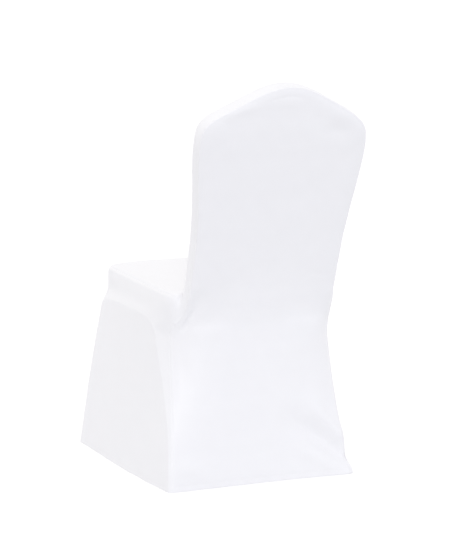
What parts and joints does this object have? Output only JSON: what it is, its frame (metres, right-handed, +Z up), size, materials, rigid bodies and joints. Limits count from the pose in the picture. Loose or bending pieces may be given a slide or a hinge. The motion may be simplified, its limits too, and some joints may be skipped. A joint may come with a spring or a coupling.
{
  "type": "fitted stretch chair cover",
  "caption": "Fitted stretch cover for a crown-back stacking chair, with a leaning back, a seat and a flared skirt down to the floor.",
  "frame": {"origin": "bottom centre of the cover's box, on the floor that the hem stands on", "axes": "+Z up; the front of the seat faces -Y and the back leans to +Y; +X is the sitter's left"},
  "size_m": [0.5308, 0.5848, 0.9423],
  "materials": {
    "knit_front_panel": "white stretch knit, smooth with a faint sheen",
    "knit_back_panel": "white stretch knit, smooth with a faint sheen",
    "knit_side_panel_left": "white stretch knit, smooth with a faint sheen",
    "knit_side_panel_right": "white stretch knit, smooth with a faint sheen"
  },
  "bodies": {
    "root": {"front_panel": "knit_front_panel", "back_panel": "knit_back_panel", "side_panel_left": "knit_side_panel_left", "side_panel_right": "knit_side_panel_right"}
  },
  "joints": []
}
